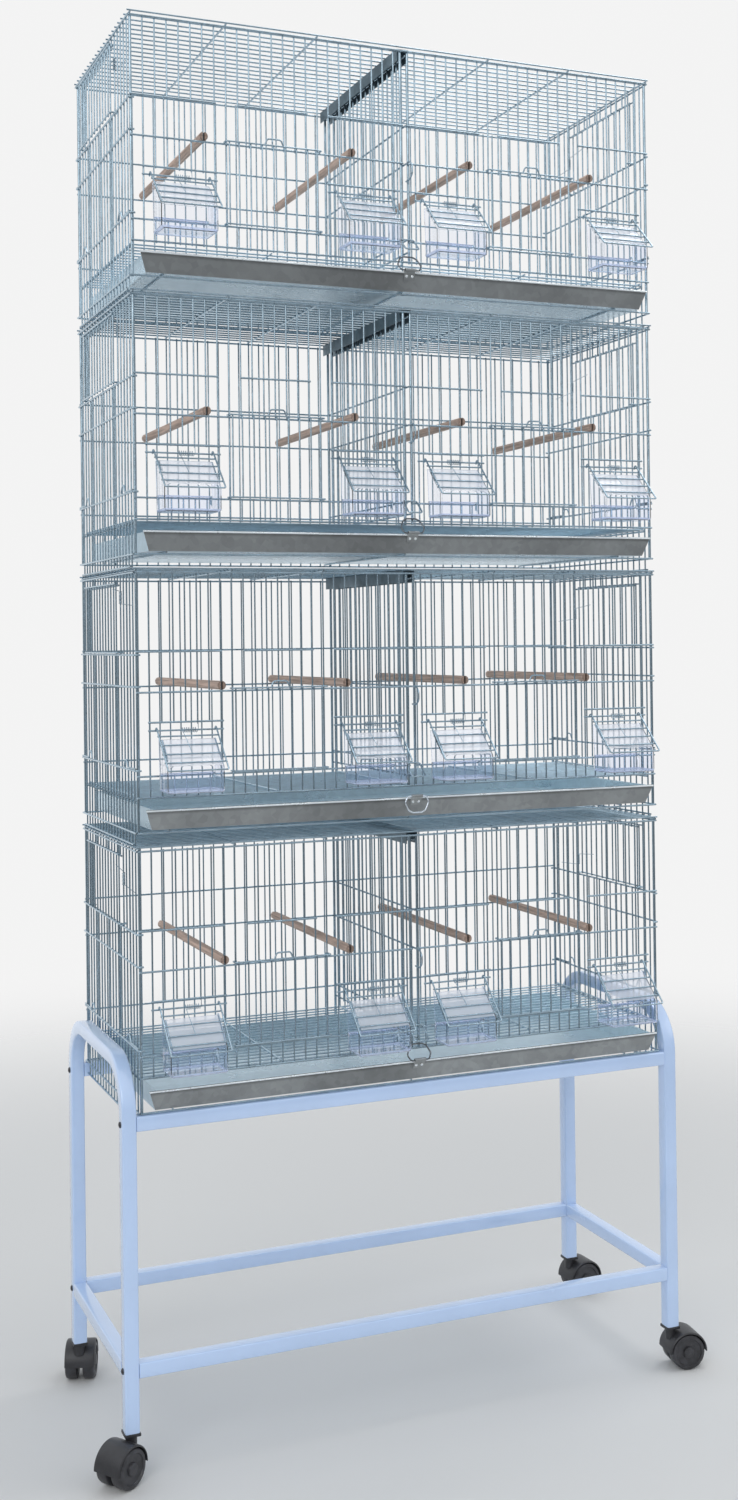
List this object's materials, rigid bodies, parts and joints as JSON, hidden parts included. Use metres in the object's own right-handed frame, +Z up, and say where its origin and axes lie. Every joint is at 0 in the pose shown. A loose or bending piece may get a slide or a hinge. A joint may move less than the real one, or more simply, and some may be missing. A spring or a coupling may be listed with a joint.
{
  "type": "breeding bird cage",
  "caption": "Stack of welded-wire double breeding cages with sprung feeder flaps, sliding doors, dividers and trays, on a square-tube stand with swivel casters.",
  "frame": {"origin": "on the floor, under the middle of the stand", "axes": "+X to the right as seen from the front, +Y to the rear, +Z up"},
  "size_m": [0.9029, 0.4098, 1.8648],
  "materials": {
    "zinc_wire": "galvanized wire",
    "zinc_sheet": "galvanized sheet",
    "white_tube": "white powder coat",
    "dark_screw": "dark zinc",
    "black_plastic": "moulded black nylon",
    "black_wheel": "moulded black nylon",
    "clear_plastic": "clear moulded plastic",
    "perch_wood": "plain turned dowel"
  },
  "bodies": {
    "cages_on_stand": {"end_frames": "white_tube", "stand_rails": "white_tube", "frame_screws": "dark_screw", "leg_plugs": "black_plastic", "front_panels": "zinc_wire", "rear_panels": "zinc_wire", "side_panels": "zinc_wire", "roof_panels": "zinc_wire", "divider_channels": "zinc_sheet", "floor_grates": "zinc_wire", "perches": "perch_wood", "feeder_cups": "clear_plastic"},
    "caster_yoke_front_left": {"caster_yoke_front_left": "black_plastic"},
    "caster_wheels_front_left": {"caster_wheels_front_left": "black_wheel"},
    "caster_yoke_front_right": {"caster_yoke_front_right": "black_plastic"},
    "caster_wheels_front_right": {"caster_wheels_front_right": "black_wheel"},
    "caster_yoke_rear_left": {"caster_yoke_rear_left": "black_plastic"},
    "caster_wheels_rear_left": {"caster_wheels_rear_left": "black_wheel"},
    "caster_yoke_rear_right": {"caster_yoke_rear_right": "black_plastic"},
    "caster_wheels_rear_right": {"caster_wheels_rear_right": "black_wheel"},
    "tray_1": {"tray_1": "zinc_sheet"},
    "tray_ring_1": {"tray_ring_1": "zinc_wire"},
    "divider_1": {"divider_1": "zinc_wire"},
    "front_door_1_left": {"front_door_1_left": "zinc_wire"},
    "front_door_1_right": {"front_door_1_right": "zinc_wire"},
    "nest_doors_1": {"nest_doors_1": "zinc_wire"},
    "feeder_flap_1a": {"feeder_flap_1a": "zinc_wire"},
    "feeder_flap_1b": {"feeder_flap_1b": "zinc_wire"},
    "feeder_flap_1c": {"feeder_flap_1c": "zinc_wire"},
    "feeder_flap_1d": {"feeder_flap_1d": "zinc_wire"},
    "tray_2": {"tray_2": "zinc_sheet"},
    "tray_ring_2": {"tray_ring_2": "zinc_wire"},
    "divider_2": {"divider_2": "zinc_wire"},
    "front_door_2_left": {"front_door_2_left": "zinc_wire"},
    "front_door_2_right": {"front_door_2_right": "zinc_wire"},
    "nest_doors_2": {"nest_doors_2": "zinc_wire"},
    "feeder_flap_2a": {"feeder_flap_2a": "zinc_wire"},
    "feeder_flap_2b": {"feeder_flap_2b": "zinc_wire"},
    "feeder_flap_2c": {"feeder_flap_2c": "zinc_wire"},
    "feeder_flap_2d": {"feeder_flap_2d": "zinc_wire"},
    "tray_3": {"tray_3": "zinc_sheet"},
    "tray_ring_3": {"tray_ring_3": "zinc_wire"},
    "divider_3": {"divider_3": "zinc_wire"},
    "front_door_3_left": {"front_door_3_left": "zinc_wire"},
    "front_door_3_right": {"front_door_3_right": "zinc_wire"},
    "nest_doors_3": {"nest_doors_3": "zinc_wire"},
    "feeder_flap_3a": {"feeder_flap_3a": "zinc_wire"},
    "feeder_flap_3b": {"feeder_flap_3b": "zinc_wire"},
    "feeder_flap_3c": {"feeder_flap_3c": "zinc_wire"},
    "feeder_flap_3d": {"feeder_flap_3d": "zinc_wire"},
    "tray_4": {"tray_4": "zinc_sheet"},
    "tray_ring_4": {"tray_ring_4": "zinc_wire"},
    "divider_4": {"divider_4": "zinc_wire"},
    "front_door_4_left": {"front_door_4_left": "zinc_wire"},
    "front_door_4_right": {"front_door_4_right": "zinc_wire"},
    "nest_doors_4": {"nest_doors_4": "zinc_wire"},
    "feeder_flap_4a": {"feeder_flap_4a": "zinc_wire"},
    "feeder_flap_4b": {"feeder_flap_4b": "zinc_wire"},
    "feeder_flap_4c": {"feeder_flap_4c": "zinc_wire"},
    "feeder_flap_4d": {"feeder_flap_4d": "zinc_wire"}
  },
  "joints": [
    {"name": "swivel_front_left", "type": "hinge", "parent": "cages_on_stand", "child": "caster_yoke_front_left", "pos_m": [-0.39912, -0.148, 0.06], "axis": [0, 0, 1], "continuous": true},
    {"name": "spin_front_left", "type": "hinge", "parent": "caster_yoke_front_left", "child": "caster_wheels_front_left", "pos_m": [-0.4155, -0.15947, 0.025], "axis": [0.5736, -0.8192, 0], "continuous": true},
    {"name": "swivel_front_right", "type": "hinge", "parent": "cages_on_stand", "child": "caster_yoke_front_right", "pos_m": [0.39912, -0.148, 0.06], "axis": [0, 0, 1], "continuous": true},
    {"name": "spin_front_right", "type": "hinge", "parent": "caster_yoke_front_right", "child": "caster_wheels_front_right", "pos_m": [0.41892, -0.15078, 0.025], "axis": [0.1392, 0.9903, 0], "continuous": true},
    {"name": "swivel_rear_left", "type": "hinge", "parent": "cages_on_stand", "child": "caster_yoke_rear_left", "pos_m": [-0.39912, 0.148, 0.06], "axis": [0, 0, 1], "continuous": true},
    {"name": "spin_rear_left", "type": "hinge", "parent": "caster_yoke_rear_left", "child": "caster_wheels_rear_left", "pos_m": [-0.39228, 0.16679, 0.025], "axis": [-0.9397, 0.342, 0], "continuous": true},
    {"name": "swivel_rear_right", "type": "hinge", "parent": "cages_on_stand", "child": "caster_yoke_rear_right", "pos_m": [0.39912, 0.148, 0.06], "axis": [0, 0, 1], "continuous": true},
    {"name": "spin_rear_right", "type": "hinge", "parent": "caster_yoke_rear_right", "child": "caster_wheels_rear_right", "pos_m": [0.41907, 0.1494, 0.025], "axis": [-0.0698, 0.9976, 0], "continuous": true},
    {"name": "tray_slide_1", "type": "slide", "parent": "cages_on_stand", "child": "tray_1", "axis": [0, -1, 0], "range_m": [0, 0.26]},
    {"name": "ring_swing_1", "type": "hinge", "parent": "tray_1", "child": "tray_ring_1", "pos_m": [0, -0.16503, 1.55696], "axis": [1, 0, 0], "range_deg": [0, 205]},
    {"name": "divider_slide_1", "type": "slide", "parent": "cages_on_stand", "child": "divider_1", "axis": [0, -1, 0], "range_m": [0, 0.28]},
    {"name": "front_door_slide_1_left", "type": "slide", "parent": "cages_on_stand", "child": "front_door_1_left", "axis": [0, 0, 1], "range_m": [0, 0.095]},
    {"name": "front_door_slide_1_right", "type": "slide", "parent": "cages_on_stand", "child": "front_door_1_right", "axis": [0, 0, 1], "range_m": [0, 0.095]},
    {"name": "nest_door_slide_1", "type": "slide", "parent": "cages_on_stand", "child": "nest_doors_1", "axis": [0, 0, 1], "range_m": [0, 0.085]},
    {"name": "flap_hinge_1a", "type": "hinge", "parent": "cages_on_stand", "child": "feeder_flap_1a", "pos_m": [-0.3175, -0.1517, 1.65598], "axis": [-1, 0, 0], "range_deg": [0, 90], "stiffness_Nm_per_rad": 0.03, "springref_deg": -20.05},
    {"name": "flap_hinge_1b", "type": "hinge", "parent": "cages_on_stand", "child": "feeder_flap_1b", "pos_m": [-0.0635, -0.1517, 1.65598], "axis": [-1, 0, 0], "range_deg": [0, 90], "stiffness_Nm_per_rad": 0.03, "springref_deg": -20.05},
    {"name": "flap_hinge_1c", "type": "hinge", "parent": "cages_on_stand", "child": "feeder_flap_1c", "pos_m": [0.0635, -0.1517, 1.65598], "axis": [-1, 0, 0], "range_deg": [0, 90], "stiffness_Nm_per_rad": 0.03, "springref_deg": -20.05},
    {"name": "flap_hinge_1d", "type": "hinge", "parent": "cages_on_stand", "child": "feeder_flap_1d", "pos_m": [0.3175, -0.1517, 1.65598], "axis": [-1, 0, 0], "range_deg": [0, 90], "stiffness_Nm_per_rad": 0.03, "springref_deg": -20.05},
    {"name": "tray_slide_2", "type": "slide", "parent": "cages_on_stand", "child": "tray_2", "axis": [0, -1, 0], "range_m": [0, 0.26]},
    {"name": "ring_swing_2", "type": "hinge", "parent": "tray_2", "child": "tray_ring_2", "pos_m": [0, -0.16503, 1.2013], "axis": [1, 0, 0], "range_deg": [0, 205]},
    {"name": "divider_slide_2", "type": "slide", "parent": "cages_on_stand", "child": "divider_2", "axis": [0, -1, 0], "range_m": [0, 0.28]},
    {"name": "front_door_slide_2_left", "type": "slide", "parent": "cages_on_stand", "child": "front_door_2_left", "axis": [0, 0, 1], "range_m": [0, 0.095]},
    {"name": "front_door_slide_2_right", "type": "slide", "parent": "cages_on_stand", "child": "front_door_2_right", "axis": [0, 0, 1], "range_m": [0, 0.095]},
    {"name": "nest_door_slide_2", "type": "slide", "parent": "cages_on_stand", "child": "nest_doors_2", "axis": [0, 0, 1], "range_m": [0, 0.085]},
    {"name": "flap_hinge_2a", "type": "hinge", "parent": "cages_on_stand", "child": "feeder_flap_2a", "pos_m": [-0.3175, -0.1517, 1.30032], "axis": [-1, 0, 0], "range_deg": [0, 90], "stiffness_Nm_per_rad": 0.03, "springref_deg": -20.05},
    {"name": "flap_hinge_2b", "type": "hinge", "parent": "cages_on_stand", "child": "feeder_flap_2b", "pos_m": [-0.0635, -0.1517, 1.30032], "axis": [-1, 0, 0], "range_deg": [0, 90], "stiffness_Nm_per_rad": 0.03, "springref_deg": -20.05},
    {"name": "flap_hinge_2c", "type": "hinge", "parent": "cages_on_stand", "child": "feeder_flap_2c", "pos_m": [0.0635, -0.1517, 1.30032], "axis": [-1, 0, 0], "range_deg": [0, 90], "stiffness_Nm_per_rad": 0.03, "springref_deg": -20.05},
    {"name": "flap_hinge_2d", "type": "hinge", "parent": "cages_on_stand", "child": "feeder_flap_2d", "pos_m": [0.3175, -0.1517, 1.30032], "axis": [-1, 0, 0], "range_deg": [0, 90], "stiffness_Nm_per_rad": 0.03, "springref_deg": -20.05},
    {"name": "tray_slide_3", "type": "slide", "parent": "cages_on_stand", "child": "tray_3", "axis": [0, -1, 0], "range_m": [0, 0.26]},
    {"name": "ring_swing_3", "type": "hinge", "parent": "tray_3", "child": "tray_ring_3", "pos_m": [0, -0.16503, 0.84564], "axis": [1, 0, 0], "range_deg": [-205, 0]},
    {"name": "divider_slide_3", "type": "slide", "parent": "cages_on_stand", "child": "divider_3", "axis": [0, -1, 0], "range_m": [0, 0.28]},
    {"name": "front_door_slide_3_left", "type": "slide", "parent": "cages_on_stand", "child": "front_door_3_left", "axis": [0, 0, 1], "range_m": [0, 0.095]},
    {"name": "front_door_slide_3_right", "type": "slide", "parent": "cages_on_stand", "child": "front_door_3_right", "axis": [0, 0, 1], "range_m": [0, 0.095]},
    {"name": "nest_door_slide_3", "type": "slide", "parent": "cages_on_stand", "child": "nest_doors_3", "axis": [0, 0, 1], "range_m": [0, 0.085]},
    {"name": "flap_hinge_3a", "type": "hinge", "parent": "cages_on_stand", "child": "feeder_flap_3a", "pos_m": [-0.3175, -0.1517, 0.94466], "axis": [-1, 0, 0], "range_deg": [0, 90], "stiffness_Nm_per_rad": 0.03, "springref_deg": -20.05},
    {"name": "flap_hinge_3b", "type": "hinge", "parent": "cages_on_stand", "child": "feeder_flap_3b", "pos_m": [-0.0635, -0.1517, 0.94466], "axis": [-1, 0, 0], "range_deg": [0, 90], "stiffness_Nm_per_rad": 0.03, "springref_deg": -20.05},
    {"name": "flap_hinge_3c", "type": "hinge", "parent": "cages_on_stand", "child": "feeder_flap_3c", "pos_m": [0.0635, -0.1517, 0.94466], "axis": [-1, 0, 0], "range_deg": [0, 90], "stiffness_Nm_per_rad": 0.03, "springref_deg": -20.05},
    {"name": "flap_hinge_3d", "type": "hinge", "parent": "cages_on_stand", "child": "feeder_flap_3d", "pos_m": [0.3175, -0.1517, 0.94466], "axis": [-1, 0, 0], "range_deg": [0, 90], "stiffness_Nm_per_rad": 0.03, "springref_deg": -20.05},
    {"name": "tray_slide_4", "type": "slide", "parent": "cages_on_stand", "child": "tray_4", "axis": [0, -1, 0], "range_m": [0, 0.26]},
    {"name": "ring_swing_4", "type": "hinge", "parent": "tray_4", "child": "tray_ring_4", "pos_m": [0, -0.16503, 0.48998], "axis": [1, 0, 0], "range_deg": [0, 205]},
    {"name": "divider_slide_4", "type": "slide", "parent": "cages_on_stand", "child": "divider_4", "axis": [0, -1, 0], "range_m": [0, 0.28]},
    {"name": "front_door_slide_4_left", "type": "slide", "parent": "cages_on_stand", "child": "front_door_4_left", "axis": [0, 0, 1], "range_m": [0, 0.095]},
    {"name": "front_door_slide_4_right", "type": "slide", "parent": "cages_on_stand", "child": "front_door_4_right", "axis": [0, 0, 1], "range_m": [0, 0.095]},
    {"name": "nest_door_slide_4", "type": "slide", "parent": "cages_on_stand", "child": "nest_doors_4", "axis": [0, 0, 1], "range_m": [0, 0.085]},
    {"name": "flap_hinge_4a", "type": "hinge", "parent": "cages_on_stand", "child": "feeder_flap_4a", "pos_m": [-0.3175, -0.1517, 0.589], "axis": [-1, 0, 0], "range_deg": [0, 90], "stiffness_Nm_per_rad": 0.03, "springref_deg": -20.05},
    {"name": "flap_hinge_4b", "type": "hinge", "parent": "cages_on_stand", "child": "feeder_flap_4b", "pos_m": [-0.0635, -0.1517, 0.589], "axis": [-1, 0, 0], "range_deg": [0, 90], "stiffness_Nm_per_rad": 0.03, "springref_deg": -20.05},
    {"name": "flap_hinge_4c", "type": "hinge", "parent": "cages_on_stand", "child": "feeder_flap_4c", "pos_m": [0.0635, -0.1517, 0.589], "axis": [-1, 0, 0], "range_deg": [0, 90], "stiffness_Nm_per_rad": 0.03, "springref_deg": -20.05},
    {"name": "flap_hinge_4d", "type": "hinge", "parent": "cages_on_stand", "child": "feeder_flap_4d", "pos_m": [0.3175, -0.1517, 0.589], "axis": [-1, 0, 0], "range_deg": [0, 90], "stiffness_Nm_per_rad": 0.03, "springref_deg": -20.05}
  ]
}
